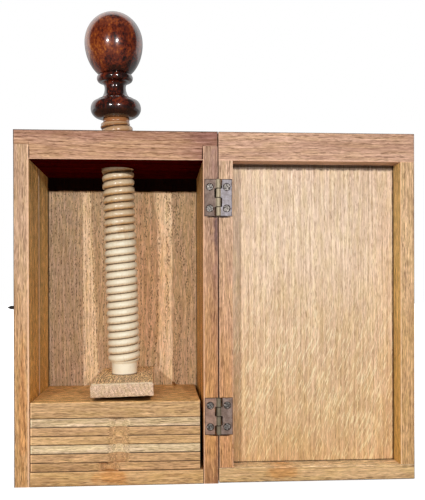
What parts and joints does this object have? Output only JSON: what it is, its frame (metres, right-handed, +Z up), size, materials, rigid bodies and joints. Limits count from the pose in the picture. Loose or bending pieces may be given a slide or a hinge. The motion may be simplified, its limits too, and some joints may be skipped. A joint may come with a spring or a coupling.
{
  "type": "playing card press",
  "caption": "Upright oak box press for playing cards: case with a hinged door, tall wooden screw with a turned knob, foot block, pressing board and loose divider boards.",
  "frame": {"origin": "centre of the case's base, on the surface it stands on", "axes": "+Z up, +X to the right seen from the front, +Y to the back; the door is stored open to the right"},
  "size_m": [0.2268, 0.0761, 0.2713],
  "materials": {
    "oak_case": "old waxed oak, golden brown with dark pores and joints",
    "oak_door": "old waxed oak, pinkish tan to golden brown",
    "oak_panel": "pale quarter-sawn oak with ray flecks",
    "oak_boards": "plain oak, hand worn",
    "boxwood": "pale waxed turned hardwood",
    "stained_knob": "dark red-brown stain under gloss varnish",
    "brass": "tarnished",
    "steel": "dull",
    "iron": "dark oxidised"
  },
  "bodies": {
    "case": {"top_board": "oak_case", "bottom_board": "oak_case", "left_side_front": "oak_case", "left_side_rear": "oak_case", "right_side_front": "oak_case", "right_side_rear": "oak_case", "back_panel": "oak_case", "catch_stud": "iron", "upper_hinge_case_leaf": "brass", "lower_hinge_case_leaf": "brass", "upper_hinge_pin": "brass", "lower_hinge_pin": "brass", "case_hinge_screws": "steel"},
    "door": {"door_top_rail": "oak_door", "door_bottom_rail": "oak_door", "door_hinge_stile": "oak_door", "door_closing_stile": "oak_door", "door_panel": "oak_panel", "upper_hinge_door_leaf": "brass", "lower_hinge_door_leaf": "brass", "door_hinge_screws": "steel"},
    "foot": {"foot_block": "oak_boards"},
    "screw": {"press_screw": "boxwood", "knob": "stained_knob", "foot_washer": "steel", "foot_retaining_screw": "steel"},
    "pressing_board": {"pressing_board": "oak_boards"},
    "divider_board_1": {"divider_board_1": "oak_boards"},
    "divider_board_2": {"divider_board_2": "oak_boards"},
    "divider_board_3": {"divider_board_3": "oak_boards"},
    "divider_board_4": {"divider_board_4": "oak_boards"},
    "divider_board_5": {"divider_board_5": "oak_boards"},
    "divider_board_6": {"divider_board_6": "oak_boards"}
  },
  "joints": [
    {"name": "door_swing", "type": "hinge", "parent": "case", "child": "door", "pos_m": [0.056, -0.0375, 0.0975], "axis": [0, 0, 1], "range_deg": [-180, 0]},
    {"name": "screw_feed", "type": "slide", "parent": "case", "child": "foot", "axis": [-0.0279, -0.0436, 0.9987], "range_m": [-0.0013, 0.118]},
    {"name": "screw_turn", "type": "hinge", "parent": "foot", "child": "screw", "pos_m": [-0.0014, -0.0025, 0.18705], "axis": [-0.0279, -0.0436, 0.9987], "range_deg": [-104, 9482]},
    {"name": "pressing_board_slide", "type": "slide", "parent": "case", "child": "pressing_board", "axis": [0, -1, 0], "range_m": [0, 0.08]},
    {"name": "divider_board_1_slide", "type": "slide", "parent": "case", "child": "divider_board_1", "axis": [0, -1, 0], "range_m": [0, 0.08]},
    {"name": "divider_board_2_slide", "type": "slide", "parent": "case", "child": "divider_board_2", "axis": [0, -1, 0], "range_m": [0, 0.08]},
    {"name": "divider_board_3_slide", "type": "slide", "parent": "case", "child": "divider_board_3", "axis": [0, -1, 0], "range_m": [0, 0.08]},
    {"name": "divider_board_4_slide", "type": "slide", "parent": "case", "child": "divider_board_4", "axis": [0, -1, 0], "range_m": [0, 0.08]},
    {"name": "divider_board_5_slide", "type": "slide", "parent": "case", "child": "divider_board_5", "axis": [0, -1, 0], "range_m": [0, 0.08]},
    {"name": "divider_board_6_slide", "type": "slide", "parent": "case", "child": "divider_board_6", "axis": [0, -1, 0], "range_m": [0, 0.08]}
  ],
  "couplings": [
    {"joint": "screw_feed", "follows": "screw_turn", "m_per_rad": 0.00071301}
  ]
}
